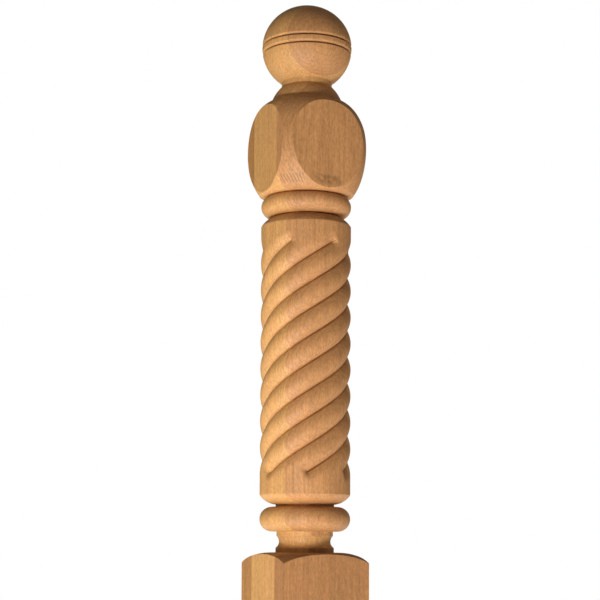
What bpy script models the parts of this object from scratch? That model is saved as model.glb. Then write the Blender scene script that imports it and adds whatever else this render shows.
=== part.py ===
"""Newel post: one solid turned and carved from a square blank, in metres, +Z up.

From the floor up: a plain square lower block with a domed shoulder, a hollow neck, a round bun, a shaft
carved as a rope twist, a bead, an upper block whose sides keep a flat of the blank, and a ball with two
fine grooves. The origin is at the middle of the underside. The blank's sides face X and Y.
"""

import math

import bmesh
import bpy

# the square blank, and what the lathe leaves of it at the fullest turned forms
BLANK_SIDE = 0.1143
LOWER_BLOCK_LENGTH = 0.5353  # from the floor to the corners of the shoulder
TURNING_ALLOWANCE = 0.0022  # taken off the blank's sides at the shaft, the bun, the bead and the ball

# Each size that ends in CUT is a depth of cut, measured inwards from the full turned radius.

# the domed shoulder and the hollow neck over it
SHOULDER_RISE = 0.0121
SHOULDER_BOW = 0.0041
NECK_FOOT_CUT = 0.0196
NECK_FOOT_HEIGHT = 0.0059
NECK_HOLLOW_HEIGHT = 0.0144
NECK_HOLLOW_DEPTH = 0.0036
NECK_HEAD_CUT = 0.0208
NECK_HEAD_HEIGHT = 0.0053

# the bun, and the narrow quirk between it and the shaft
BUN_HEIGHT = 0.0298
QUIRK_CUT = 0.0195
QUIRK_HEIGHT = 0.0031

# the shaft, with its rounded foot and head
SHAFT_LENGTH = 0.3272
SHAFT_FOOT_HEIGHT = 0.0112
SHAFT_FOOT_CUT = 0.0174
SHAFT_FOOT_BOW = 0.0022  # how far the foot bows out from a straight chamfer
SHAFT_HEAD_HEIGHT = 0.0113
SHAFT_HEAD_CUT = 0.0140
SHAFT_HEAD_BOW = 0.0015

# the rope twist carved into the shaft: it climbs anticlockwise, seen from above
STRANDS = 6
TWIST_LEAD = 0.1930  # height of one full turn
TWIST_START_ANGLE = math.radians(-13.4)  # of one groove at its lower end, from +X
TWIST_PLAIN_FOOT = 0.0160
TWIST_PLAIN_HEAD = 0.0138
GROOVE_DEPTH = 0.0066
GROOVE_RUNOUT = 0.0070  # height over which a groove fades out at each end
GROOVE_END_WIDTH = 0.4  # share of its full width that a groove still has where it fades out

# the bead under the upper block, and the lip of the block over it
BEAD_FILLET_HEIGHT = 0.0008
BEAD_HEIGHT = 0.0254
LIP_QUIRK_CUT = 0.0057  # where the bead's top meets the underside of the block
LIP_CUT = 0.0032
LIP_HEIGHT = 0.0041
LIP_FLARE = 0.0058

# the upper block: its turned surface bulges, and the blank's sides leave a flat on each side of it
BULGE_INSET = 0.0064  # how far the blank's corners are turned back
BULGE_LOWER_HEIGHT = 0.0545
BULGE_UPPER_HEIGHT = 0.0600
BULGE_LOWER_TURN = math.radians(35.1)  # how far round an ellipse each curve goes, from its widest point
BULGE_UPPER_TURN = math.radians(78.6)

# the collar under the ball
COLLAR_FOOT_CUT = 0.0114
COLLAR_HEAD_CUT = 0.0242
COLLAR_HEIGHT = 0.0196
COLLAR_BOW = 0.0016

# the ball, a little lower than it is wide, and its two grooves
BALL_NECK_HEIGHT = 0.0064
BALL_HALF_HEIGHT = 0.0518
BALL_GROOVE_DROP = 0.0018  # how far the middle between the grooves lies under the widest ring
BALL_GROOVE_SPACING = 0.0096
BALL_GROOVE_WIDTH = 0.0034
BALL_GROOVE_DEPTH = 0.0028

# fineness of the facets: rows are counted up each form
COLUMNS_PER_STRAND = 6
SHOULDER_ROWS = 6
NECK_ROWS = 5
BUN_ROWS = 10
SHAFT_END_ROWS = 4
BEAD_ROWS = 8
BULGE_LOWER_ROWS = 6
BULGE_UPPER_ROWS = 8
COLLAR_ROWS = 4
TWIST_ROWS_PER_TURN = 30
BALL_ROW_ANGLE = math.radians(11)
SHARP_ANGLE = math.radians(32)

# worked out from the sizes above
CORNER_RADIUS = BLANK_SIDE / math.sqrt(2)
TURNED_RADIUS = BLANK_SIDE / 2 - TURNING_ALLOWANCE
COLUMNS = STRANDS * COLUMNS_PER_STRAND
STRAND_ANGLE = 2 * math.pi / STRANDS
CUT_MARGIN = 0.004  # how far the turned form and the blank reach past each other where they are cut

WOOD_COLOUR = (0.50, 0.26, 0.10, 1.0)
WOOD_ROUGHNESS = 0.6


def clear_scene():
    """Remove every object of the scene, so that only the post is in it."""
    for thing in list(bpy.data.objects):
        bpy.data.objects.remove(thing, do_unlink=True)


def arc(start, end, bow, steps):
    """Points (radius, height) on a round arc from start to end, bowed outwards by bow, or inwards below 0.

    The start is left out, because the outline already holds it.
    """
    run, rise = end[0] - start[0], end[1] - start[1]
    chord = math.hypot(run, rise)
    out = (rise / chord, -run / chord)
    half_angle = 2 * math.atan(2 * bow / chord)
    arc_radius = chord / (2 * math.sin(half_angle))
    centre_depth = arc_radius * math.cos(half_angle)
    points = []
    for step in range(1, steps + 1):
        turn = half_angle * (2 * step / steps - 1)
        along = chord / 2 + arc_radius * math.sin(turn)
        aside = arc_radius * math.cos(turn) - centre_depth
        radius = start[0] + run / chord * along + out[0] * aside
        height = start[1] + rise / chord * along + out[1] * aside
        points.append((radius, height))
    return points


def round_bead(foot_height, height, last_turn, steps):
    """Points up the round of a bead of that full height, from its foot to the angle last_turn."""
    half = height / 2
    seat = TURNED_RADIUS - half
    points = []
    for step in range(1, steps + 1):
        turn = (last_turn + math.pi / 2) * step / steps - math.pi / 2
        points.append((seat + half * math.cos(turn), foot_height + half * (1 + math.sin(turn))))
    return points


def lower_outline():
    """Outline from the underside up to the foot of the shaft: block, shoulder, neck, bun and quirk."""
    corner = (CORNER_RADIUS, LOWER_BLOCK_LENGTH)
    shoulder_top = (TURNED_RADIUS - NECK_FOOT_CUT, LOWER_BLOCK_LENGTH + SHOULDER_RISE)
    hollow_foot = (shoulder_top[0], shoulder_top[1] + NECK_FOOT_HEIGHT)
    hollow_head = (TURNED_RADIUS - NECK_HEAD_CUT, hollow_foot[1] + NECK_HOLLOW_HEIGHT)
    bun_foot = hollow_head[1] + NECK_HEAD_HEIGHT
    bun_seat = TURNED_RADIUS - BUN_HEIGHT / 2
    bun_head = bun_foot + BUN_HEIGHT
    quirk_radius = TURNED_RADIUS - QUIRK_CUT

    outline = [(CORNER_RADIUS + CUT_MARGIN, -CUT_MARGIN)]
    outline += [(CORNER_RADIUS + CUT_MARGIN, LOWER_BLOCK_LENGTH - CUT_MARGIN), corner]
    outline += arc(corner, shoulder_top, SHOULDER_BOW, SHOULDER_ROWS)
    outline += [hollow_foot]
    outline += arc(hollow_foot, hollow_head, -NECK_HOLLOW_DEPTH, NECK_ROWS)
    outline += [(hollow_head[0], bun_foot), (bun_seat, bun_foot)]
    outline += round_bead(bun_foot, BUN_HEIGHT, math.pi / 2, BUN_ROWS)
    outline += [(quirk_radius, bun_head), (quirk_radius, bun_head + QUIRK_HEIGHT)]
    return outline


def shaft_foot_outline(base):
    """Rounded foot of the shaft, from the quirk at height base out to the full radius."""
    foot = (TURNED_RADIUS - SHAFT_FOOT_CUT, base)
    full = (TURNED_RADIUS, base + SHAFT_FOOT_HEIGHT)
    return [foot] + arc(foot, full, SHAFT_FOOT_BOW, SHAFT_END_ROWS)


def upper_outline(base):
    """Outline from the head of the shaft at height base up to the ball's neck."""
    shaft_head = (TURNED_RADIUS - SHAFT_HEAD_CUT, base + SHAFT_HEAD_HEIGHT)
    bead_foot = shaft_head[1] + BEAD_FILLET_HEIGHT
    bead_half = BEAD_HEIGHT / 2
    bead_turn = math.acos((bead_half - LIP_QUIRK_CUT) / bead_half)
    lip_base = (TURNED_RADIUS - LIP_CUT, bead_foot + bead_half * (1 + math.sin(bead_turn)))
    lip = (lip_base[0] + LIP_FLARE, lip_base[1] + LIP_HEIGHT)
    widest = (CORNER_RADIUS - BULGE_INSET, lip[1] + BULGE_LOWER_HEIGHT)
    collar_foot = (TURNED_RADIUS - COLLAR_FOOT_CUT, widest[1] + BULGE_UPPER_HEIGHT)
    collar_head = (TURNED_RADIUS - COLLAR_HEAD_CUT, collar_foot[1] + COLLAR_HEIGHT)

    outline = arc((TURNED_RADIUS, base), shaft_head, SHAFT_HEAD_BOW, SHAFT_END_ROWS)
    outline += [(shaft_head[0], bead_foot)]
    outline += round_bead(bead_foot, BEAD_HEIGHT, bead_turn, BEAD_ROWS)
    outline += [lip_base]
    outline += reversed(bulge(widest, lip, BULGE_LOWER_TURN, BULGE_LOWER_ROWS))
    outline += [widest] + bulge(widest, collar_foot, BULGE_UPPER_TURN, BULGE_UPPER_ROWS)
    outline += arc(collar_foot, collar_head, COLLAR_BOW, COLLAR_ROWS)
    return outline


def bulge(widest, end, last_turn, steps):
    """Points from the widest ring of the upper block, itself left out, up or down to end on an ellipse."""
    half_height = (end[1] - widest[1]) / math.sin(last_turn)
    half_width = (widest[0] - end[0]) / (1 - math.cos(last_turn))
    points = []
    for step in range(1, steps + 1):
        turn = last_turn * step / steps
        radius = widest[0] - half_width * (1 - math.cos(turn))
        points.append((radius, widest[1] + half_height * math.sin(turn)))
    return points


def ball_outline(neck_top):
    """Outline of the ball from its neck up to just under its crown, and the crown's height."""
    seat_angle = -math.acos((TURNED_RADIUS - COLLAR_HEAD_CUT) / TURNED_RADIUS)
    centre = neck_top + BALL_NECK_HEIGHT - BALL_HALF_HEIGHT * math.sin(seat_angle)
    lower_groove = math.asin((-BALL_GROOVE_SPACING / 2 - BALL_GROOVE_DROP) / BALL_HALF_HEIGHT)
    upper_groove = math.asin((BALL_GROOVE_SPACING / 2 - BALL_GROOVE_DROP) / BALL_HALF_HEIGHT)
    groove_edge = math.asin(BALL_GROOVE_WIDTH / 2 / BALL_HALF_HEIGHT)

    def on_ball(angle, depth=0.0):
        radius = (TURNED_RADIUS - depth) * math.cos(angle)
        return (radius, centre + BALL_HALF_HEIGHT * math.sin(angle))

    def sweep(first, last):
        rows = max(1, round((last - first) / BALL_ROW_ANGLE))
        return [on_ball(first + (last - first) * row / rows) for row in range(rows + 1)]

    outline = sweep(seat_angle, lower_groove - groove_edge)
    outline += [on_ball(lower_groove, BALL_GROOVE_DEPTH)]
    outline += sweep(lower_groove + groove_edge, upper_groove - groove_edge)
    outline += [on_ball(upper_groove, BALL_GROOVE_DEPTH)]
    outline += sweep(upper_groove + groove_edge, math.pi / 2)[:-1]
    return outline, centre + BALL_HALF_HEIGHT


def groove_depth(column, height, foot, head):
    """Depth of the carving at one column of the twisted grid, between the heights foot and head."""
    if not foot < height < head:
        return 0.0
    fade = min(1.0, min(height - foot, head - height) / GROOVE_RUNOUT)
    fade = fade * fade * (3 - 2 * fade)
    angle = 2 * math.pi * column / COLUMNS
    off_groove = abs((angle + STRAND_ANGLE / 2) % STRAND_ANGLE - STRAND_ANGLE / 2)
    half_width = STRAND_ANGLE / 2 * (GROOVE_END_WIDTH + (1 - GROOVE_END_WIDTH) * fade)
    flank = max(0.0, 1 - off_groove / half_width)
    return GROOVE_DEPTH * fade * flank**2


def turned_rings():
    """Rings of the turned form, from the bottom up, as lists of points, and the crown's height."""
    outline = lower_outline()
    shaft_base = outline[-1][1]
    outline += shaft_foot_outline(shaft_base)
    shaft_foot = outline[-1][1]
    shaft_head = shaft_foot + SHAFT_LENGTH
    foot, head = shaft_foot + TWIST_PLAIN_FOOT, shaft_head - TWIST_PLAIN_HEAD
    turns = (head - foot) / TWIST_LEAD
    rows = math.ceil(turns * TWIST_ROWS_PER_TURN)
    outline += [(TURNED_RADIUS, foot + (head - foot) * row / rows) for row in range(rows + 1)]
    outline += [(TURNED_RADIUS, shaft_head)]
    outline += upper_outline(shaft_head)
    ball, crown = ball_outline(outline[-1][1])
    outline += ball

    rings = []
    for radius, height in outline:
        climbed = min(max(height, foot), head) - foot
        twist = TWIST_START_ANGLE + 2 * math.pi * climbed / TWIST_LEAD
        ring = []
        for column in range(COLUMNS):
            angle = twist + 2 * math.pi * column / COLUMNS
            reach = radius - groove_depth(column, height, foot, head)
            ring.append((reach * math.cos(angle), reach * math.sin(angle), height))
        rings.append(ring)
    return rings, crown


def turned_object():
    """The form as it comes from lathe and chisel, still too wide where the blank's flats cut it."""
    rings, crown = turned_rings()
    body = bmesh.new()
    loops = [[body.verts.new(point) for point in ring] for ring in rings]
    body.faces.new(reversed(loops[0]))
    for lower, upper in zip(loops, loops[1:]):
        for column in range(COLUMNS):
            beside = (column + 1) % COLUMNS
            body.faces.new((lower[column], lower[beside], upper[beside], upper[column]))
    top = body.verts.new((0, 0, crown))
    for column in range(COLUMNS):
        body.faces.new((loops[-1][column], loops[-1][(column + 1) % COLUMNS], top))
    mesh = bpy.data.meshes.new("newel_post")
    body.to_mesh(mesh)
    body.free()
    post = bpy.data.objects.new("newel_post", mesh)
    bpy.context.collection.objects.link(post)
    return post, crown


def blank_object(height):
    """The square blank, standing on the floor, a little taller than the post."""
    body = bmesh.new()
    bmesh.ops.create_cube(body, size=1.0)
    bmesh.ops.scale(body, vec=(BLANK_SIDE, BLANK_SIDE, height), verts=body.verts)
    bmesh.ops.translate(body, vec=(0, 0, height / 2), verts=body.verts)
    mesh = bpy.data.meshes.new("blank")
    body.to_mesh(mesh)
    body.free()
    blank = bpy.data.objects.new("blank", mesh)
    blank.hide_render = True
    blank.display_type = "WIRE"
    bpy.context.collection.objects.link(blank)
    return blank


def wood_material():
    """Light brown wood, sanded and left bare."""
    wood = bpy.data.materials.new("sanded_wood")
    wood.use_nodes = True
    shader = wood.node_tree.nodes["Principled BSDF"]
    shader.inputs["Base Color"].default_value = WOOD_COLOUR
    shader.inputs["Roughness"].default_value = WOOD_ROUGHNESS
    shader.inputs["Metallic"].default_value = 0.0
    return wood


def build_post():
    """Cut the turned form to the blank's four sides and its foot, and finish the one solid."""
    post, crown = turned_object()
    blank = blank_object(crown + CUT_MARGIN)
    cut = post.modifiers.new("keep_inside_blank", "BOOLEAN")
    cut.operation = "INTERSECT"
    cut.solver = "EXACT"
    cut.object = blank
    bpy.context.view_layer.update()
    evaluated = post.evaluated_get(bpy.context.evaluated_depsgraph_get())
    finished = bpy.data.meshes.new_from_object(evaluated)
    post.modifiers.remove(cut)
    post.data = finished
    finished.name = "newel_post"
    bpy.data.objects.remove(blank, do_unlink=True)
    finished.materials.clear()
    finished.materials.append(wood_material())
    finished.shade_smooth()
    finished.set_sharp_from_angle(angle=SHARP_ANGLE)
    return post


def main():
    clear_scene()
    build_post()


main()
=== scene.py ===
"""Turned and carved newel post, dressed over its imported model, with a pale floor and soft studio light.

The post is made as a joiner makes it: an outline is turned round the post's axis, a rope twist is carved into
the shaft, and the flat sides of the glued-up square blank cut the turned form off. Lengths are in metres.
"""

import math

import bpy
from bpy.props import FloatProperty, FloatVectorProperty, IntProperty, PointerProperty
from mathutils import Matrix, Vector


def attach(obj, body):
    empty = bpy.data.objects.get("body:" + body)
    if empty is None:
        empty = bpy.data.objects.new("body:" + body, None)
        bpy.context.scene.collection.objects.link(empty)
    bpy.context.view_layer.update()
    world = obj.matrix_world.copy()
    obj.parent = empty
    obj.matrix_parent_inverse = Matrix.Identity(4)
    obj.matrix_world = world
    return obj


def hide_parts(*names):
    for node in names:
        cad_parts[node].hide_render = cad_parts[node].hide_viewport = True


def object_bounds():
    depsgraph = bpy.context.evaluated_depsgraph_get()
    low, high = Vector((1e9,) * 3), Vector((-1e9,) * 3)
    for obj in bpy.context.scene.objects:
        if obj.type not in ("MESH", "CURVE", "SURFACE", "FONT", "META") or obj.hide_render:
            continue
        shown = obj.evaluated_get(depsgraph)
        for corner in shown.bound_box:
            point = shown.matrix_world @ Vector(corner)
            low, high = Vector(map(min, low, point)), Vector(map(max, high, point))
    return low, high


bl_info = {
    "name": "Rope-twist newel post",
    "version": (1, 0, 0),
    "blender": (4, 5, 0),
    "location": "3D View > Sidebar > Newel post",
    "description": "Builds a turned newel post with a rope twist, its wood and a studio for it",
    "category": "Add Mesh",
}

BODY = "root"
NODE = "newel_post"
MATH = "ShaderNodeMath"
VECTOR_MATH = "ShaderNodeVectorMath"
SPLIT, JOIN = "ShaderNodeSeparateXYZ", "ShaderNodeCombineXYZ"
NOISE, MAPPING, MAP_RANGE = "ShaderNodeTexNoise", "ShaderNodeMapping", "ShaderNodeMapRange"

# fineness of the mesh; lengths are in metres
ROW_STEP = 0.0016  # between the rows of the turned forms
TWIST_STEP = 0.0015  # between the rows of the shaft
COLUMNS_PER_STRAND = 30
COLUMN_CROWDING = 0.35  # 0 spaces the columns evenly, and more draws them towards the grooves
SHARP_EDGE = math.radians(30)  # edges that turn more than this stay sharp
CUT_MARGIN = 0.004  # how far the turned form and the blank reach past each other
MERGE_DISTANCE = 0.00001  # closes the seam, the crown and the middle of the foot
SHORTEST_STRETCH = 1e-7  # a shorter stretch of the outline counts as none

# what the chisel and the sanding leave
EASED_TURN = math.radians(25)  # sharper turns of the outline are sanded round
EASE_SHARE = 0.4  # the most that sanding takes of a stretch of the outline, at each end
QUIRK_DEPTH = 0.0042  # how deep the fine slots reach in the ball, and above and below the bead
QUIRK_GAP = 0.0012  # height of the slot above the bead
BALL_SLOT = 0.0021  # height of the slots in the ball; a chamfer leads down into each
BALL_CHAMFER = 0.0012  # how far in from the lower edge of the slot the chamfer starts
LOWER_BULGE_TURN = math.radians(35.1)  # how far round an ellipse the upper block's curves go
UPPER_BULGE_TURN = math.radians(78.6)
SLOT_HALF_WIDTH = 0.0011  # of the fine slot at the bottom of each groove of the twist
SLOT_DEPTH = 0.0026
GROOVE_END_STEEPNESS = 2.2  # how much faster a groove shallows past its end than beside it

# the boards: where the pith of each lay, across and through the post, as shares of PITH_FIELD with 0.5 at the
# post's axis, and how bold its rings are; from the front board to the rear one
PITH_FIELD = 0.4
BOARD_PITHS = [(0.51, 0.74, 0.42), (0.30, 0.95, 0.12), (0.62, 0.05, 0.15), (0.40, 0.10, 0.35)]
# the front board is darker at its foot, and this fades out between these heights over the block's corners
FOOT_BORDER = (0.012, 0.026)
FOOT_WANDER = 0.012  # how far that border wanders up and down
FOOT_WANDERS_PER_METRE = 30.0  # 33 mm from one wander to the next

# growth rings: pale early wood that darkens to a thin band of late wood
RING_WANDERS_PER_METRE = 22.0  # 45 mm across and 207 mm along the post
RING_WANDER_SQUEEZE = 0.22
RING_WANDER = 0.010  # how far a ring wanders, in metres
RING_TILT = 0.03  # the rings lean by this share of the height
# place in a ring, and the share of late wood there
LATE_STOPS = [(0.0, 0.12), (0.55, 0.1), (0.86, 1.0), (0.93, 0.7), (1.0, 0.12)]
LATE_STRENGTH = 0.55

# grain: cells in a metre, squeeze along the post, detail, roughness, contrast and darkest tone; the fibres
# are drawn coarser than real ones, so that they show
GRAIN = {
    "fibre": (480.0, 0.02, 3.0, 0.60, 0.60, 0.70),  # 2.1 mm across and 104 mm along
    "streak": (120.0, 0.03, 3.0, 0.55, 0.36, 0.82),  # 8.3 mm across and 278 mm along
    "cloud": (18.0, 1.0, 3.0, 0.55, 0.20, 0.90),  # 56 mm
    "speck": (620.0, 0.35, 2.0, 0.60, 0.90, 0.55),  # 1.6 mm across and 4.6 mm along
}
FIBRE_RELIEF, LATE_RELIEF = 0.6, 0.3  # shares of the bump
BUMP_STRENGTH, BUMP_DISTANCE = 0.25, 0.0006
MARK_TONE = -0.36  # how much the chatter marks and the torn fibres darken the wood

# chatter marks under the near corner of the upper block; heights are over the corners of the lower block
CHATTER_RADIUS = 0.068  # turns the angle round the post into a length
CHATTER_SPACING = 0.0041
CHATTER_SLANT = 0.45  # how far the marks run sideways for each unit of height
CHATTER_CORNER = math.radians(133)  # the near corner lies at minus this angle from +X
CHATTER_RISE = 0.4574
CHATTER_HALF_WIDTH = math.radians(15)
CHATTER_HALF_HEIGHT = 0.0055
CHATTER_WAVE = (0.2, 0.7)  # a mark starts and is full at these values of a sine
CHATTER_CORE = 0.8  # share of the reach over which the marks keep their strength

# torn fibres at the foot of the front flat of the upper block; the height is over the block's corners too
TEAR_RISE = 0.4575
TEARS_PER_METRE = 170.0  # 5.9 mm
TEAR_NOISE = (0.38, 0.60)  # fibres start to be torn, and are fully torn, at these values of a noise
TEAR_DEPTH, TEAR_HALF_WIDTH, TEAR_HALF_HEIGHT = 0.002, 0.026, 0.0075
TEAR_CORE = 0.4

# camera: the photo is the upper part of a taller picture, whose middle lies on CENTRE_ROW
LENS = 93.0  # millimetres, as the sensor's width is
SENSOR = 36.0
FRAME_PIXELS = 600
CENTRE_ROW = 450.0
HORIZON_ROW = 541.0
PIXELS_PER_METRE = 826.0  # at the post's axis
AXIS_SHIFT_PIXELS = 5.1  # from the photo's middle column to the post's axis
VIEW_TURN = math.radians(27.5)  # of the camera round the post, from the front face
VIEW_ROLL = math.radians(0.28)
EYE_OVER_BLOCK = 0.0263  # metres over the corners of the lower block

# lamps: metres to the right of, before and over the post's foot, seen from the camera, the height that each
# is aimed at, and its side; the key light stands at floor height, half sunk in the floor, and is aimed up
KEY_PLACE, KEY_AIM, KEY_SIDE, KEY_SPREAD = (-0.42, 1.26, 0.00), 0.95, 0.30, math.radians(135)
FLOOR_LIGHT_PLACE, FLOOR_LIGHT_AIM, FLOOR_LIGHT_SIDE = (0.0, 0.0, 3.2), 0.0, 3.0
ROOM_LIGHT = (1, 0.93, 0.80, 1)
FLOOR_MOTTLES_PER_METRE = 40.0  # 25 mm
FLOOR_MOTTLE_TONE = 0.97
FLOOR_STEP = 5  # degrees between the corners of the round floor

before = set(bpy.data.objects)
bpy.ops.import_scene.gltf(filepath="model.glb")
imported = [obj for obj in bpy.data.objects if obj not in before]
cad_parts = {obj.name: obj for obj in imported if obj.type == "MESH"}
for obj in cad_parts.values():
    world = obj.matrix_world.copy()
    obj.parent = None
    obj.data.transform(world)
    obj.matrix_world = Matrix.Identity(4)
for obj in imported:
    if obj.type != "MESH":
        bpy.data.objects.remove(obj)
CAD_LOW, CAD_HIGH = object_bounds()
POST_HEIGHT = CAD_HIGH.z


def length(name, default, description):
    """A length in metres that a user can change."""
    return FloatProperty(name=name, description=description, default=default, precision=4, unit="LENGTH")


def hex_colour(code):
    """Linear red, green and blue of an sRGB colour such as #c8a070."""
    parts = [int(code[start:start + 2], 16) / 255 for start in (1, 3, 5)]
    return tuple(part / 12.92 if part <= 0.04045 else ((part + 0.055) / 1.055) ** 2.4 for part in parts)


def tint(name, code, description):
    """A colour that a user can change, given as sRGB hex."""
    return FloatVectorProperty(
        name=name, description=description, default=hex_colour(code), subtype="COLOR", size=3, min=0, max=1)


def share(name, default, description, top=1.0):
    """A plain number from 0 that a user can change."""
    return FloatProperty(name=name, description=description, default=default, min=0, max=top)


class TurnedSizes(bpy.types.PropertyGroup):
    """Sizes of the turned outline, from the floor up. A cut is a depth below the full turned radius."""
    blank_side: length("Blank side", CAD_HIGH.x - CAD_LOW.x, "Side of the square blank")
    block_length: length("Lower block", 0.5353, "From the floor to the corners of the shoulder")
    allowance: length("Turning allowance", 0.0022, "Taken off the blank's sides at the fullest turned forms")
    shoulder_rise: length("Shoulder rise", 0.0121, "Height of the domed shoulder")
    shoulder_bow: length("Shoulder bow", 0.0041, "How far the shoulder bows out")
    neck_foot_cut: length("Neck foot cut", 0.0196, "Cut at the foot of the neck")
    neck_foot: length("Neck foot", 0.0059, "Height of the plain foot of the neck")
    hollow_height: length("Hollow", 0.0144, "Height of the neck's hollow")
    hollow_depth: length("Hollow depth", 0.0036, "Depth of the neck's hollow")
    neck_head_cut: length("Neck head cut", 0.0208, "Cut at the head of the neck")
    neck_head: length("Neck head", 0.0053, "Height of the plain head of the neck")
    bun_height: length("Bun", 0.0298, "Height of the round bun")
    quirk_cut: length("Quirk cut", 0.0195, "Cut between the bun and the shaft")
    quirk_height: length("Quirk", 0.0031, "Height of that cut")
    foot_height: length("Shaft foot", 0.0112, "Height of the shaft's rounded foot")
    foot_cut: length("Shaft foot cut", 0.0174, "Cut at the bottom of the shaft's foot")
    foot_bow: length("Shaft foot bow", 0.0022, "How far the foot bows out")
    shaft_length: length("Shaft", 0.3272, "Length of the shaft at its full radius")
    head_height: length("Shaft head", 0.0113, "Height of the shaft's rounded head")
    head_cut: length("Shaft head cut", 0.0140, "Cut at the top of the shaft's head")
    head_bow: length("Shaft head bow", 0.0015, "How far the head bows out")
    fillet_height: length("Bead fillet", 0.0008, "Height of the plain fillet under the bead")
    bead_height: length("Bead", 0.0254, "Full height of the bead's round")
    lip_quirk_cut: length("Lip quirk cut", 0.0057, "Cut where the bead meets the upper block")
    lip_cut: length("Lip cut", 0.0032, "Cut at the inner edge of the block's lip")
    lip_height: length("Lip", 0.0041, "Height of the block's lip")
    lip_flare: length("Lip flare", 0.0058, "How far the lip flares out")
    bulge_inset: length("Bulge inset", 0.0064, "How far the blank's corners are turned back")
    bulge_lower: length("Lower bulge", 0.0545, "Height of the upper block below its widest ring")
    bulge_upper: length("Upper bulge", 0.0600, "Height of the upper block above its widest ring")
    collar_foot_cut: length("Collar foot cut", 0.0114, "Cut at the foot of the collar")
    collar_head_cut: length("Collar head cut", 0.0242, "Cut at the head of the collar")
    collar_height: length("Collar", 0.0196, "Height of the collar under the ball")
    collar_bow: length("Collar bow", 0.0016, "How far the collar bows out")
    ball_neck: length("Ball neck", 0.0064, "Height of the neck under the ball")
    ball_half_height: length("Ball half height", 0.0518, "From the ball's widest ring to its crown")
    groove_drop: length(
        "Ball groove drop", 0.0018, "How far the two grooves' middle lies under the widest ring")
    groove_spacing: length("Ball groove spacing", 0.0096, "Between the ball's two grooves")
    groove_width: length("Ball groove width", 0.0040, "Width of each of the ball's grooves")
    edge_ease: length("Edge ease", 0.0005, "Radius that sanding leaves on the turned edges")


class TwistSizes(bpy.types.PropertyGroup):
    """Sizes of the rope twist carved into the shaft."""
    strands: IntProperty(name="Strands", description="Number of strands", default=6, min=2)
    lead: length("Lead", 0.1930, "Height of one full turn of the twist")
    start_angle: FloatProperty(
        name="Start", description="Angle of one groove, from +X, where it would reach the shaft's foot",
        subtype="ANGLE", default=math.radians(-43.2))
    plain_foot: length("Plain foot", 0.0262, "Plain height of the shaft under the grooves' lower ends")
    plain_head: length("Plain head", 0.0240, "Plain height of the shaft over the grooves' upper ends")
    depth: length("Groove depth", 0.0060, "Depth of the grooves between the strands")


class WoodLook(bpy.types.PropertyGroup):
    """Colours and grain of the four boards that the blank is glued up from."""
    front_board: tint("Front board", "#b88351", "Light brown board at the front")
    front_board_foot: tint("Foot of the front board", "#a47244", "Its darker wood in the lower block")
    core_board: tint("Core board", "#c79358", "Light board before the middle")
    second_core_board: tint("Second core board", "#c79558", "Light board behind the middle")
    rear_board: tint("Rear board", "#ae7c45", "Orange-brown board at the back")
    latewood: tint("Latewood", "#8a5a36", "Dense late wood of the growth rings")
    front_glue: length("Front glue plane", 0.0332, "From the axis to the front board")
    rear_glue: length("Rear glue plane", 0.0286, "From the axis to the rear board")
    ring_spacing: length("Ring spacing", 0.0031, "Thickness of one growth ring")
    roughness: share("Roughness", 0.58, "Roughness of the sanded wood")


class StageLook(bpy.types.PropertyGroup):
    """Floor and lights."""
    floor_colour: tint("Floor", "#e9e7e3", "Pale matt floor")
    floor_radius: length("Floor radius", 2.6, "Radius of the round floor")
    key_power: share("Key power", 21.0, "Watts of the low key light", 2000)
    floor_power: share("Floor power", 260.0, "Watts of the light that falls on the floor alone", 2000)
    ambient: share("Ambient", 0.18, "Strength of the white room around the post", 10)


def arc(start, end, bow, step):
    """Points (radius, height) on a round arc from start to end, bowed outwards by bow; start is left out."""
    run, rise = end[0] - start[0], end[1] - start[1]
    chord = math.hypot(run, rise)
    out = (rise / chord, -run / chord)
    half_angle = 2 * math.atan(2 * bow / chord)
    radius = chord / (2 * math.sin(half_angle))
    count = max(2, math.ceil(chord / step))
    points = []
    for number in range(1, count + 1):
        turn = half_angle * (2 * number / count - 1)
        along = chord / 2 + radius * math.sin(turn)
        aside = radius * (math.cos(turn) - math.cos(half_angle))
        points.append((start[0] + run / chord * along + out[0] * aside,
                       start[1] + rise / chord * along + out[1] * aside))
    return points


def line(start, end, step):
    """Points on a straight line from start to end; start is left out."""
    count = max(1, math.ceil(math.dist(start, end) / step))
    return [(start[0] + (end[0] - start[0]) * number / count,
             start[1] + (end[1] - start[1]) * number / count) for number in range(1, count + 1)]


def ellipse(centre, half_width, half_height, first_turn, last_turn, step):
    """Points on an ellipse from the angle first_turn to last_turn; the first point is left out."""
    count = max(2, math.ceil(abs(last_turn - first_turn) * max(half_width, abs(half_height)) / step))
    points = []
    for number in range(1, count + 1):
        turn = first_turn + (last_turn - first_turn) * number / count
        points.append((centre[0] + half_width * math.cos(turn), centre[1] + half_height * math.sin(turn)))
    return points


def bulge_curve(widest, end, last_turn, step):
    """Points of the upper block from its widest ring up or down to end, the widest ring left out."""
    half_height = (end[1] - widest[1]) / math.sin(last_turn)
    half_width = (widest[0] - end[0]) / (1 - math.cos(last_turn))
    return ellipse((widest[0] - half_width, widest[1]), half_width, half_height, 0, last_turn, step)


def ease_edges(outline, reach):
    """Round every sharp turn of the outline a little, as sanding does."""
    eased = [outline[0]]
    for before, point, after in zip(outline, outline[1:], outline[2:]):
        into = Vector(point) - Vector(before)
        away = Vector(after) - Vector(point)
        if min(into.length, away.length) < SHORTEST_STRETCH or into.angle(away) < EASED_TURN:
            eased.append(point)
            continue
        back = min(reach, EASE_SHARE * into.length)
        ahead = min(reach, EASE_SHARE * away.length)
        first = Vector(point) - into.normalized() * back
        last = Vector(point) + away.normalized() * ahead
        middle = (first + last + 2 * Vector(point)) / 4
        eased += [tuple(first), tuple(middle), tuple(last)]
    return eased + [outline[-1]]


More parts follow.
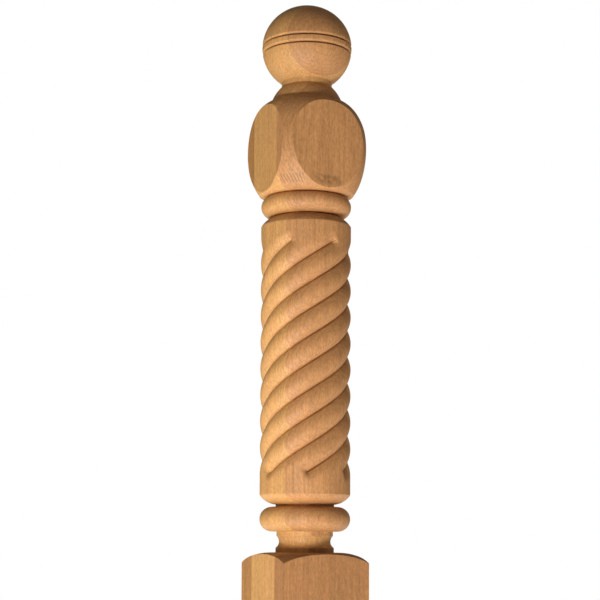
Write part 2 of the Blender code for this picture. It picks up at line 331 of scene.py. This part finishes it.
def post_outline(turned):
    """Outline (radius, height) of the turned form from its foot to its crown, and the shaft's two ends."""
    corner = turned.blank_side / math.sqrt(2)
    full = turned.blank_side / 2 - turned.allowance
    step = ROW_STEP

    # lower block, shoulder, neck and bun
    block_top = (corner, turned.block_length)
    outline = [(0, -CUT_MARGIN), (corner + CUT_MARGIN, -CUT_MARGIN)]
    outline += [(corner + CUT_MARGIN, turned.block_length - CUT_MARGIN), block_top]
    shoulder_top = (full - turned.neck_foot_cut, turned.block_length + turned.shoulder_rise)
    outline += arc(block_top, shoulder_top, turned.shoulder_bow, step)
    hollow_foot = (shoulder_top[0], shoulder_top[1] + turned.neck_foot)
    outline += line(shoulder_top, hollow_foot, step)
    hollow_head = (full - turned.neck_head_cut, hollow_foot[1] + turned.hollow_height)
    outline += arc(hollow_foot, hollow_head, -turned.hollow_depth, step)
    bun_foot = hollow_head[1] + turned.neck_head
    outline += line(hollow_head, (hollow_head[0], bun_foot), step)
    half = turned.bun_height / 2
    outline += [(full - half, bun_foot)]
    outline += ellipse((full - half, bun_foot + half), half, half, -math.pi / 2, math.pi / 2, step)
    quirk_foot = (full - turned.quirk_cut, bun_foot + turned.bun_height)
    outline += [quirk_foot, (quirk_foot[0], quirk_foot[1] + turned.quirk_height)]

    # shaft
    foot = (full - turned.foot_cut, quirk_foot[1] + turned.quirk_height)
    outline += [foot]
    shaft_foot = (full, foot[1] + turned.foot_height)
    outline += arc(foot, shaft_foot, turned.foot_bow, step)
    shaft_head = (full, shaft_foot[1] + turned.shaft_length)
    outline += line(shaft_foot, shaft_head, TWIST_STEP)
    head = (full - turned.head_cut, shaft_head[1] + turned.head_height)
    outline += arc(shaft_head, head, turned.head_bow, step)

    # bead, upper block and collar
    bead_foot = head[1] + turned.fillet_height
    outline += [(head[0] - QUIRK_DEPTH, head[1]), (head[0] - QUIRK_DEPTH, bead_foot)]
    half = turned.bead_height / 2
    last_turn = math.acos((half - turned.lip_quirk_cut) / half)
    outline += ellipse((full - half, bead_foot + half), half, half, -math.pi / 2, last_turn, step)
    bead_head = (outline[-1][0] - QUIRK_DEPTH, outline[-1][1])
    lip_base = (full - turned.lip_cut, bead_head[1] + QUIRK_GAP)
    lip = (lip_base[0] + turned.lip_flare, bead_head[1] + turned.lip_height)
    outline += [bead_head, (bead_head[0], lip_base[1]), lip_base, lip]
    widest = (corner - turned.bulge_inset, lip[1] + turned.bulge_lower)
    outline += bulge_curve(widest, lip, LOWER_BULGE_TURN, step)[-2::-1] + [widest]
    collar_foot = (full - turned.collar_foot_cut, widest[1] + turned.bulge_upper)
    outline += bulge_curve(widest, collar_foot, UPPER_BULGE_TURN, step)
    collar_head = (full - turned.collar_head_cut, collar_foot[1] + turned.collar_height)
    outline += arc(collar_foot, collar_head, turned.collar_bow, step)

    # ball, with two level slots, and a chamfer over each
    tall = turned.ball_half_height
    seat_turn = -math.acos(collar_head[0] / full)
    centre = (0, collar_head[1] + turned.ball_neck - tall * math.sin(seat_turn))
    edge_turn = math.asin(turned.groove_width / 2 / tall)
    outline += line(collar_head, (collar_head[0], collar_head[1] + turned.ball_neck), step)
    reached = seat_turn
    for side in (-0.5, 0.5):
        middle = math.asin((turned.groove_spacing * side - turned.groove_drop) / tall)
        outline += ellipse(centre, full, tall, reached, middle - edge_turn, step)
        ledge = outline[-1]
        outline += [(ledge[0] - QUIRK_DEPTH, ledge[1]), (ledge[0] - QUIRK_DEPTH, ledge[1] + BALL_SLOT),
                    (ledge[0] - BALL_CHAMFER, ledge[1] + BALL_SLOT)]
        reached = middle + edge_turn
        outline += [(full * math.cos(reached), centre[1] + tall * math.sin(reached))]
    outline += ellipse(centre, full, tall, reached, math.pi / 2, step)
    return ease_edges(outline, turned.edge_ease), shaft_foot[1], shaft_head[1], full


def add(tree, kind, inputs=(), **settings):
    """Add a node, set it up, and fill its inputs with values or sockets to link from; returns its outputs."""
    node = tree.nodes.new(kind)
    for name, value in settings.items():
        setattr(node, name, value)
    for key, value in inputs.items() if isinstance(inputs, dict) else enumerate(inputs):
        if isinstance(value, bpy.types.NodeSocket):
            tree.links.new(value, node.inputs[key])
        else:
            node.inputs[key].default_value = value
    return node.outputs


def carving_tree():
    """Geometry nodes that turn an outline round the axis, carve the rope twist and cut the blank's flats."""
    tree = bpy.data.node_groups.new("turn_and_carve", "GeometryNodeTree")
    tree.is_modifier = True
    for name, kind in (
            ("Outline", "Geometry"), ("Columns", "Int"), ("Strands", "Int"), ("Full Radius", "Float"),
            ("Lead", "Float"), ("Start Angle", "Float"), ("Shaft Foot", "Float"), ("Groove Foot", "Float"),
            ("Groove Head", "Float"), ("Groove Depth", "Float"), ("Groove Slot", "Float"),
            ("Climb Angle", "Float"), ("Blank Side", "Float"), ("Blank Height", "Float"),
            ("Wood", "Material")):
        tree.interface.new_socket(name, in_out="INPUT", socket_type="NodeSocket" + kind)
    tree.interface.new_socket("Post", in_out="OUTPUT", socket_type="NodeSocketGeometry")
    sizes = add(tree, "NodeGroupInput")

    # a grid of columns by rows, whose rows take their radius and height from the outline's points
    rows = add(tree, "GeometryNodeAttributeDomainSize", {"Geometry": sizes["Outline"]})["Point Count"]
    columns = add(tree, MATH, (sizes["Columns"], 1), operation="ADD")[0]
    grid = add(tree, "GeometryNodeMeshGrid", {
        "Size X": 1, "Size Y": 1, "Vertices X": columns, "Vertices Y": rows})["Mesh"]
    spot = add(tree, SPLIT, (add(tree, "GeometryNodeInputPosition")[0],))
    last_row = add(tree, MATH, (rows, 1), operation="SUBTRACT")[0]
    up = add(tree, MATH, (spot["Y"], 0.5), operation="ADD")[0]
    row_place = add(tree, MATH, (up, last_row), operation="MULTIPLY")[0]
    row = add(tree, MATH, (row_place,), operation="ROUND")[0]
    sampled = add(tree, "GeometryNodeSampleIndex", {
        "Geometry": sizes["Outline"], "Value": add(tree, "GeometryNodeInputPosition")[0], "Index": row},
        data_type="FLOAT_VECTOR")
    ring = add(tree, SPLIT, (sampled[0],))
    radius, height = ring["X"], ring["Z"]

    # columns lie closer together near the grooves; column 0 of each strand runs down the middle of a groove
    across_grid = add(tree, MATH, (spot["X"], 0.5), operation="ADD")[0]
    strand_place = add(tree, MATH, (across_grid, sizes["Strands"]), operation="MULTIPLY")[0]
    strand = add(tree, MATH, (strand_place,), operation="ROUND")[0]
    even = add(tree, MATH, (strand_place, strand), operation="SUBTRACT")[0]
    off_middle = add(tree, MATH, (even,), operation="ABSOLUTE")[0]
    off_share = add(tree, MATH, (off_middle, 2), operation="MULTIPLY")[0]
    crowd = add(tree, MATH, (off_share, COLUMN_CROWDING), operation="POWER")[0]
    off_groove = add(tree, MATH, (even, crowd), operation="MULTIPLY")[0]
    strand_angle = add(tree, MATH, (2 * math.pi, sizes["Strands"]), operation="DIVIDE")[0]
    column = add(tree, MATH, (strand, off_groove), operation="ADD")[0]
    column_angle = add(tree, MATH, (column, strand_angle), operation="MULTIPLY")[0]

    # the columns climb with the twist, and run straight up above and below it
    spacing = add(tree, MATH, (strand_angle, sizes["Full Radius"]), operation="MULTIPLY")[0]
    climb_sine = add(tree, MATH, (sizes["Climb Angle"],), operation="SINE")[0]
    climb_cosine = add(tree, MATH, (sizes["Climb Angle"],), operation="COSINE")[0]
    half_spacing = add(tree, MATH, (spacing, 0.5), operation="MULTIPLY")[0]
    groove_reach = add(tree, MATH, (half_spacing, climb_sine), operation="MULTIPLY")[0]
    twist_foot = add(tree, MATH, (sizes["Groove Foot"], groove_reach), operation="SUBTRACT")[0]
    twist_head = add(tree, MATH, (sizes["Groove Head"], groove_reach), operation="ADD")[0]
    under_head = add(tree, MATH, (height, twist_head), operation="MINIMUM")[0]
    twisting = add(tree, MATH, (under_head, twist_foot), operation="MAXIMUM")[0]
    climbed = add(tree, MATH, (twisting, sizes["Shaft Foot"]), operation="SUBTRACT")[0]
    full_turns = add(tree, MATH, (climbed, 2 * math.pi), operation="MULTIPLY")[0]
    turned_by = add(tree, MATH, (full_turns, sizes["Lead"]), operation="DIVIDE")[0]
    twisted = add(tree, MATH, (column_angle, turned_by), operation="ADD")[0]
    angle = add(tree, MATH, (twisted, sizes["Start Angle"]), operation="ADD")[0]

    # distance to the nearest groove's middle line, along the surface, round its ends too
    raised = add(tree, MATH, (height, sizes["Groove Foot"]), operation="SUBTRACT")[0]
    climbed_along = add(tree, MATH, (raised, climb_sine), operation="DIVIDE")[0]
    groove_rise = add(tree, MATH, (sizes["Groove Head"], sizes["Groove Foot"]), operation="SUBTRACT")[0]
    groove_length = add(tree, MATH, (groove_rise, climb_sine), operation="DIVIDE")[0]
    nearest = None
    for neighbour in (-1, 0, 1):
        strands_off = add(tree, MATH, (off_groove, neighbour), operation="ADD")[0]
        beside = add(tree, MATH, (strands_off, spacing), operation="MULTIPLY")[0]
        along = add(tree, MATH, (beside, climb_cosine, climbed_along), operation="MULTIPLY_ADD")[0]
        past_foot = add(tree, MATH, (along, -1), operation="MULTIPLY")[0]
        past_head = add(tree, MATH, (along, groove_length), operation="SUBTRACT")[0]
        past_either = add(tree, MATH, (past_foot, past_head), operation="MAXIMUM")[0]
        past_end = add(tree, MATH, (past_either, 0), operation="MAXIMUM")[0]
        steepened = add(tree, MATH, (past_end, GROOVE_END_STEEPNESS), operation="MULTIPLY")[0]
        across = add(tree, MATH, (beside, climb_sine), operation="MULTIPLY")[0]
        away = add(tree, VECTOR_MATH, (add(tree, JOIN, (across, steepened))[0],), operation="LENGTH")["Value"]
        nearest = away if nearest is None else add(tree, MATH, (nearest, away), operation="MINIMUM")[0]

    # rounded strands that meet in a sharp groove with a fine slot at its bottom
    flank_share = add(tree, MATH, (nearest, groove_reach), operation="DIVIDE")[0]
    inside_flank = add(tree, MATH, (1, flank_share), operation="SUBTRACT")[0]
    flank = add(tree, MATH, (inside_flank, 0), operation="MAXIMUM")[0]
    rounded = add(tree, MATH, (flank, 2), operation="POWER")[0]
    carved = add(tree, MATH, (rounded, sizes["Groove Depth"]), operation="MULTIPLY")[0]
    slot_share = add(tree, MATH, (nearest, SLOT_HALF_WIDTH), operation="DIVIDE")[0]
    inside_slot = add(tree, MATH, (1, slot_share), operation="SUBTRACT")[0]
    slot = add(tree, MATH, (inside_slot, 0), operation="MAXIMUM")[0]
    depth = add(tree, MATH, (slot, sizes["Groove Slot"], carved), operation="MULTIPLY_ADD")[0]

    reach = add(tree, MATH, (radius, depth), operation="SUBTRACT")[0]
    cosine = add(tree, MATH, (angle,), operation="COSINE")[0]
    sine = add(tree, MATH, (angle,), operation="SINE")[0]
    place = add(tree, JOIN, (
        add(tree, MATH, (cosine, reach), operation="MULTIPLY")[0],
        add(tree, MATH, (sine, reach), operation="MULTIPLY")[0], height))[0]
    turned = add(tree, "GeometryNodeSetPosition", {"Geometry": grid, "Position": place})[0]
    closed = add(tree, "GeometryNodeMergeByDistance", {"Geometry": turned, "Distance": MERGE_DISTANCE})[0]

    # the blank, standing on the floor
    side = add(tree, JOIN, (sizes["Blank Side"], sizes["Blank Side"], sizes["Blank Height"]))[0]
    cube = add(tree, "GeometryNodeMeshCube", {"Size": side})["Mesh"]
    half_height = add(tree, MATH, (sizes["Blank Height"], 0.5), operation="MULTIPLY")[0]
    lift = add(tree, JOIN, {"Z": half_height})[0]
    blank = add(tree, "GeometryNodeTransform", {"Geometry": cube, "Translation": lift})[0]
    cut = add(tree, "GeometryNodeMeshBoolean", operation="INTERSECT", solver="EXACT")["Mesh"]
    for shape in (closed, blank):
        tree.links.new(shape, cut.node.inputs["Mesh 2"])

    real = add(tree, "GeometryNodeRealizeInstances", {"Geometry": cut})[0]
    wooden = add(tree, "GeometryNodeSetMaterial", {"Geometry": real, "Material": sizes["Wood"]})[0]
    add(tree, "NodeGroupOutput", {"Post": wooden})
    return tree


def set_stops(ramp, stops, interpolation="LINEAR"):
    """Give a colour ramp its stops, as positions and colours."""
    ramp.interpolation = interpolation
    while len(ramp.elements) < len(stops):
        ramp.elements.new(0.5)
    for element, (position, colour) in zip(ramp.elements, stops):
        element.position = position
        element.color = (*colour, 1)


def keep_near(tree, mark, reaches, core):
    """The share mark, at full strength up to core of each reach, and faded out at the reach."""
    for off, reach in reaches:
        near = add(tree, MAP_RANGE, {
            "Value": off, "From Min": reach * core, "From Max": reach, "To Min": 1.0, "To Max": 0.0})[0]
        mark = add(tree, MATH, (mark, near), operation="MULTIPLY")[0]
    return mark


def board_colours(tree, look, parts, spot, half_side, shoulder):
    """Colour of the wood before its grain, and where the pith of each point's board lay."""
    # which board a point lies in: 0 at the front face of the blank, 1 at the back
    through = add(tree, MAP_RANGE, {"Value": parts["Y"], "From Min": -half_side, "From Max": half_side})[0]
    planes = [0.0, 0.5 - look.front_glue / (2 * half_side), 0.5, 0.5 + look.rear_glue / (2 * half_side)]
    colours = [tuple(colour) for colour in (
        look.front_board, look.core_board, look.second_core_board, look.rear_board)]
    plain = add(tree, "ShaderNodeValToRGB", (through,))["Color"]
    set_stops(plain.node.color_ramp, list(zip(planes, colours)), "CONSTANT")
    pith = add(tree, "ShaderNodeValToRGB", (through,))["Color"]
    set_stops(pith.node.color_ramp, list(zip(planes, BOARD_PITHS)), "CONSTANT")

    # the front board is darker up to a wandering border at the shoulder of the lower block
    wander = add(tree, NOISE, {"Vector": spot, "Scale": FOOT_WANDERS_PER_METRE, "Detail": 1.0})["Fac"]
    raised = add(tree, MATH, (wander, FOOT_WANDER, parts["Z"]), operation="MULTIPLY_ADD")[0]
    above = add(tree, MATH, (raised, shoulder), operation="SUBTRACT")[0]
    foot = add(tree, MAP_RANGE, {
        "Value": above, "From Min": FOOT_BORDER[0], "From Max": FOOT_BORDER[1],
        "To Min": 1.0, "To Max": 0.0})[0]
    in_front = add(tree, MATH, (through, planes[1]), operation="LESS_THAN")[0]
    foot_share = add(tree, MATH, (foot, in_front), operation="MULTIPLY")[0]
    coloured = add(tree, "ShaderNodeMix", {
        0: foot_share, 6: plain, 7: (*look.front_board_foot, 1)}, data_type="RGBA")[2]
    return coloured, pith


def late_wood(tree, look, parts, spot, pith):
    """Share of late wood at a point: rings round its board's pith that wander along the board."""
    off_axis = add(tree, VECTOR_MATH, (pith, (0.5, 0.5, 0)), operation="SUBTRACT")[0]
    pith_place = add(tree, VECTOR_MATH, {0: off_axis, "Scale": PITH_FIELD}, operation="SCALE")[0]
    squeezed = add(tree, MAPPING, {"Vector": spot, "Scale": (1, 1, RING_WANDER_SQUEEZE)})[0]
    wander = add(tree, NOISE, {
        "Vector": squeezed, "Scale": RING_WANDERS_PER_METRE, "Detail": 2.0, "Roughness": 0.5})["Fac"]
    from_pith = add(tree, VECTOR_MATH, (spot, pith_place), operation="SUBTRACT")[0]
    level = add(tree, VECTOR_MATH, (from_pith, (1, 1, 0)), operation="MULTIPLY")[0]
    ring_distance = add(tree, VECTOR_MATH, (level,), operation="LENGTH")["Value"]
    wandered = add(tree, MATH, (wander, RING_WANDER, ring_distance), operation="MULTIPLY_ADD")[0]
    tilted = add(tree, MATH, (parts["Z"], RING_TILT, wandered), operation="MULTIPLY_ADD")[0]
    rings_out = add(tree, MATH, (tilted, look.ring_spacing), operation="DIVIDE")[0]
    ring = add(tree, MATH, (rings_out,), operation="FRACT")[0]
    late = add(tree, "ShaderNodeValToRGB", (ring,))["Color"]
    set_stops(late.node.color_ramp, [(place, (share,) * 3) for place, share in LATE_STOPS])
    return late


def chatter_marks(tree, parts, shoulder):
    """Share of a chatter mark at a point: a row of slanting marks under the upper block's near corner."""
    turn = add(tree, MATH, (parts["Y"], parts["X"]), operation="ARCTAN2")[0]
    slant_rise = add(tree, MATH, (parts["Z"], CHATTER_SLANT), operation="MULTIPLY")[0]
    slant = add(tree, MATH, (turn, CHATTER_RADIUS, slant_rise), operation="MULTIPLY_ADD")[0]
    phase = add(tree, MATH, (slant, CHATTER_SPACING / (2 * math.pi)), operation="DIVIDE")[0]
    wave = add(tree, MATH, (phase,), operation="SINE")[0]
    past_corner = add(tree, MATH, (turn, CHATTER_CORNER), operation="ADD")[0]
    off_corner = add(tree, MATH, (past_corner,), operation="ABSOLUTE")[0]
    past_height = add(tree, MATH, (parts["Z"], shoulder + CHATTER_RISE), operation="SUBTRACT")[0]
    off_height = add(tree, MATH, (past_height,), operation="ABSOLUTE")[0]
    mark = add(tree, MAP_RANGE, {"Value": wave, "From Min": CHATTER_WAVE[0], "From Max": CHATTER_WAVE[1]})[0]
    reaches = ((off_corner, CHATTER_HALF_WIDTH), (off_height, CHATTER_HALF_HEIGHT))
    return keep_near(tree, mark, reaches, CHATTER_CORE)


def torn_fibres(tree, parts, spot, half_side, shoulder):
    """Share of torn fibres at a point, on the foot of the front flat of the upper block."""
    past_front = add(tree, MATH, (parts["Y"], half_side), operation="ADD")[0]
    past_tear = add(tree, MATH, (parts["Z"], shoulder + TEAR_RISE), operation="SUBTRACT")[0]
    off_front, off_middle, off_tear = (
        add(tree, MATH, (past,), operation="ABSOLUTE")[0] for past in (past_front, parts["X"], past_tear))
    patches = add(tree, NOISE, {"Vector": spot, "Scale": TEARS_PER_METRE, "Detail": 3.0})["Fac"]
    torn = add(tree, MAP_RANGE, {"Value": patches, "From Min": TEAR_NOISE[0], "From Max": TEAR_NOISE[1]})[0]
    reaches = ((off_front, TEAR_DEPTH), (off_middle, TEAR_HALF_WIDTH), (off_tear, TEAR_HALF_HEIGHT))
    return keep_near(tree, torn, reaches, TEAR_CORE)


def wood_material(look, half_side, shoulder):
    """Softwood, sawn into boards, glued up, turned and sanded, and left bare."""
    # bare sanded softwood is matt, and gives the eye growth rings, long fibres that run up the post, small
    # specks, and a change of colour where one board of the blank meets the next
    wood = bpy.data.materials.new("sanded_softwood")
    wood.use_nodes = True
    tree = wood.node_tree
    shader = tree.nodes["Principled BSDF"]
    spot = add(tree, "ShaderNodeTexCoord")["Object"]
    parts = add(tree, SPLIT, (spot,))

    board_colour, pith = board_colours(tree, look, parts, spot, half_side, shoulder)
    late = late_wood(tree, look, parts, spot, pith)
    boldness = add(tree, SPLIT, (pith,))["Z"]
    bold_late = add(tree, MATH, (late, boldness), operation="MULTIPLY")[0]
    dark_share = add(tree, MATH, (bold_late, LATE_STRENGTH), operation="MULTIPLY", use_clamp=True)[0]
    ringed = add(tree, "ShaderNodeMix", {
        0: dark_share, 6: board_colour, 7: (*look.latewood, 1)}, data_type="RGBA")[2]

    tone = 1.0
    grains = {}
    for name, (per_metre, squeeze, detail, roughness, contrast, darkest) in GRAIN.items():
        squeezed = add(tree, MAPPING, {"Vector": spot, "Scale": (1, 1, squeeze)})[0]
        grains[name] = add(tree, NOISE, {
            "Vector": squeezed, "Scale": per_metre, "Detail": detail, "Roughness": roughness})["Fac"]
        grain_tone = add(tree, MATH, (grains[name], contrast, darkest), operation="MULTIPLY_ADD")[0]
        tone = add(tree, MATH, (tone, grain_tone), operation="MULTIPLY")[0]
    for mark in (chatter_marks(tree, parts, shoulder), torn_fibres(tree, parts, spot, half_side, shoulder)):
        mark_tone = add(tree, MATH, (mark, MARK_TONE, 1.0), operation="MULTIPLY_ADD")[0]
        tone = add(tree, MATH, (tone, mark_tone), operation="MULTIPLY")[0]
    shaded = add(tree, "ShaderNodeHueSaturation", {"Value": tone, "Color": ringed})[0]
    tree.links.new(shaded, shader.inputs["Base Color"])

    fibre_height = add(tree, MATH, (grains["fibre"], FIBRE_RELIEF), operation="MULTIPLY")[0]
    late_height = add(tree, MATH, (late, LATE_RELIEF), operation="MULTIPLY")[0]
    relief = add(tree, MATH, (fibre_height, late_height), operation="ADD")[0]
    bump = add(tree, "ShaderNodeBump", {
        "Strength": BUMP_STRENGTH, "Distance": BUMP_DISTANCE, "Height": relief})[0]
    tree.links.new(bump, shader.inputs["Normal"])
    shader.inputs["Roughness"].default_value = look.roughness
    shader.inputs["IOR"].default_value = 1.45
    shader.inputs["Specular IOR Level"].default_value = 0.5
    return wood


class OBJECT_OT_turn_newel_post(bpy.types.Operator):
    """Turn, carve and cut the whole post, and give it its wood"""
    bl_idname = "object.turn_newel_post"
    bl_label = "Newel post"

    def execute(self, context):
        scene = context.scene
        turned, twist = scene.newel_turned, scene.newel_twist
        points, shaft_foot, shaft_head, full = post_outline(turned)
        outline = bpy.data.meshes.new("post_outline")
        outline.from_pydata([(radius, 0, height) for radius, height in points], [], [])
        post = bpy.data.objects.new("newel_post_wood", outline)
        scene.collection.objects.link(post)
        tree = carving_tree()
        sockets = {item.name: item.identifier for item in tree.interface.items_tree}
        turning = post.modifiers.new("turn_and_carve", "NODES")
        turning.node_group = tree
        for name, value in (
                ("Columns", COLUMNS_PER_STRAND * twist.strands), ("Strands", twist.strands),
                ("Full Radius", full), ("Lead", twist.lead), ("Start Angle", twist.start_angle),
                ("Shaft Foot", shaft_foot), ("Groove Foot", shaft_foot + twist.plain_foot),
                ("Groove Head", shaft_head - twist.plain_head),
                ("Groove Depth", twist.depth), ("Groove Slot", SLOT_DEPTH),
                ("Climb Angle", math.atan2(twist.lead, 2 * math.pi * full)),
                ("Blank Side", turned.blank_side), ("Blank Height", POST_HEIGHT + CUT_MARGIN),
                ("Wood", wood_material(scene.newel_wood, turned.blank_side / 2, turned.block_length))):
            turning[sockets[name]] = value
        evaluated = post.evaluated_get(context.evaluated_depsgraph_get())
        solid = bpy.data.meshes.new_from_object(evaluated)
        post.modifiers.remove(turning)
        post.data = solid
        solid.name = post.name
        solid.shade_smooth()
        solid.set_sharp_from_angle(angle=SHARP_EDGE)
        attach(post, BODY)
        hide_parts(NODE)
        return {"FINISHED"}


class SCENE_OT_newel_stage(bpy.types.Operator):
    """Lay the pale floor, and set up the lights and the camera"""
    bl_idname = "scene.newel_stage"
    bl_label = "Studio"

    def execute(self, context):
        scene = context.scene
        look = scene.newel_stage_look
        floor = self.floor(scene, look)
        self.lights(scene, look, floor)
        self.room(scene, look)
        self.camera(scene)
        return {"FINISHED"}

    def floor(self, scene, look):
        """Lay a round floor with matt, faintly mottled paint; returns it."""
        mesh = bpy.data.meshes.new("floor")
        turns = [math.radians(turn) for turn in range(0, 360, FLOOR_STEP)]
        rim = [(look.floor_radius * math.cos(turn), look.floor_radius * math.sin(turn), 0) for turn in turns]
        mesh.from_pydata(rim, [], [tuple(range(len(rim)))])
        floor = bpy.data.objects.new("floor", mesh)
        scene.collection.objects.link(floor)
        paint = bpy.data.materials.new("matt_floor_paint")
        paint.use_nodes = True
        tree = paint.node_tree
        shader = tree.nodes["Principled BSDF"]
        mottle = add(tree, NOISE, {
            "Vector": add(tree, "ShaderNodeTexCoord")["Object"], "Scale": FLOOR_MOTTLES_PER_METRE,
            "Detail": 4.0})["Fac"]
        pale = tuple(look.floor_colour)
        dull = tuple(part * FLOOR_MOTTLE_TONE for part in pale)
        mixed = add(tree, "ShaderNodeMix", {0: mottle, 6: (*pale, 1), 7: (*dull, 1)}, data_type="RGBA")[2]
        tree.links.new(mixed, shader.inputs["Base Color"])
        shader.inputs["Roughness"].default_value = 0.85
        mesh.materials.append(paint)
        return floor

    def lights(self, scene, look, floor):
        """Hang a key light for the post, and a light that falls on the floor alone."""
        right = Vector((math.cos(VIEW_TURN), -math.sin(VIEW_TURN), 0))
        ahead = Vector((math.sin(VIEW_TURN), math.cos(VIEW_TURN), 0))
        for name, (aside, before, height), aim, side, spread, power in (
                ("key_light", KEY_PLACE, KEY_AIM, KEY_SIDE, KEY_SPREAD, look.key_power),
                ("floor_light", FLOOR_LIGHT_PLACE, FLOOR_LIGHT_AIM, FLOOR_LIGHT_SIDE, math.pi,
                 look.floor_power)):
            lamp = bpy.data.lights.new(name, "AREA")
            lamp.shape = "SQUARE"
            lamp.size = side
            lamp.energy = power
            lamp.spread = spread
            light = bpy.data.objects.new(name, lamp)
            light.location = right * aside - ahead * before + Vector((0, 0, height))
            toward = Vector((0, 0, aim)) - light.location
            light.rotation_euler = toward.to_track_quat("-Z", "Y").to_euler()
            scene.collection.objects.link(light)
            if name == "floor_light":
                lit = bpy.data.collections.new("floor_only")
                lit.objects.link(floor)
                light.light_linking.receiver_collection = lit

    def room(self, scene, look):
        """Put a white room round the post that lights it faintly and warmly."""
        world = bpy.data.worlds.new("white_room")
        scene.world = world
        world.use_nodes = True
        tree = world.node_tree
        room = tree.nodes["Background"]
        room.inputs["Color"].default_value = ROOM_LIGHT
        room.inputs["Strength"].default_value = look.ambient
        seen = add(tree, "ShaderNodeBackground", {"Color": (1, 1, 1, 1), "Strength": 1.0})[0]
        is_seen = add(tree, "ShaderNodeLightPath")["Is Camera Ray"]
        mix = add(tree, "ShaderNodeMixShader", (is_seen, room.outputs[0], seen))[0]
        tree.links.new(mix, tree.nodes["World Output"].inputs["Surface"])
        scene.view_settings.view_transform = "Standard"

    def camera(self, scene):
        """Stand the camera where the photo was taken from."""
        focal_pixels = LENS / SENSOR * FRAME_PIXELS
        pitch = math.atan((HORIZON_ROW - CENTRE_ROW) / focal_pixels)
        distance = focal_pixels / (PIXELS_PER_METRE * math.cos(pitch))
        eye = bpy.data.cameras.new("camera")
        eye.sensor_width = SENSOR
        eye.lens = LENS
        eye.shift_y = CENTRE_ROW / FRAME_PIXELS - 0.5
        camera = bpy.data.objects.new("camera", eye)
        height = scene.newel_turned.block_length + EYE_OVER_BLOCK
        place = Vector((-math.sin(VIEW_TURN) * distance, -math.cos(VIEW_TURN) * distance, height))
        yaw = math.atan(AXIS_SHIFT_PIXELS / focal_pixels)
        turn = (Matrix.Rotation(yaw - VIEW_TURN, 4, "Z") @ Matrix.Rotation(math.pi / 2 + pitch, 4, "X")
                @ Matrix.Rotation(VIEW_ROLL, 4, "Z"))
        camera.matrix_world = Matrix.Translation(place) @ turn
        scene.collection.objects.link(camera)
        scene.camera = camera


class VIEW3D_PT_newel_post(bpy.types.Panel):
    """Lists the post's operators and their sizes"""
    bl_idname = "VIEW3D_PT_newel_post"
    bl_label = "Newel post"
    bl_space_type = "VIEW_3D"
    bl_region_type = "UI"
    bl_category = "Newel post"

    def draw(self, context):
        layout = self.layout
        for operator, groups in (
                (OBJECT_OT_turn_newel_post, ("newel_turned", "newel_twist", "newel_wood")),
                (SCENE_OT_newel_stage, ("newel_stage_look",))):
            box = layout.box()
            for group in groups:
                settings = getattr(context.scene, group)
                for name in type(settings).__annotations__:
                    box.prop(settings, name)
            box.operator(operator.bl_idname)


GROUPS = {
    "newel_turned": TurnedSizes, "newel_twist": TwistSizes, "newel_wood": WoodLook,
    "newel_stage_look": StageLook}
CLASSES = (*GROUPS.values(), OBJECT_OT_turn_newel_post, SCENE_OT_newel_stage, VIEW3D_PT_newel_post)


def register():
    for kind in CLASSES:
        bpy.utils.register_class(kind)
    for name, kind in GROUPS.items():
        setattr(bpy.types.Scene, name, PointerProperty(type=kind))


def unregister():
    for name in GROUPS:
        delattr(bpy.types.Scene, name)
    for kind in reversed(CLASSES):
        bpy.utils.unregister_class(kind)


def main():
    """Build the post and its stage."""
    register()
    bpy.ops.object.turn_newel_post()
    bpy.ops.scene.newel_stage()


if __name__ == "__main__":
    main()
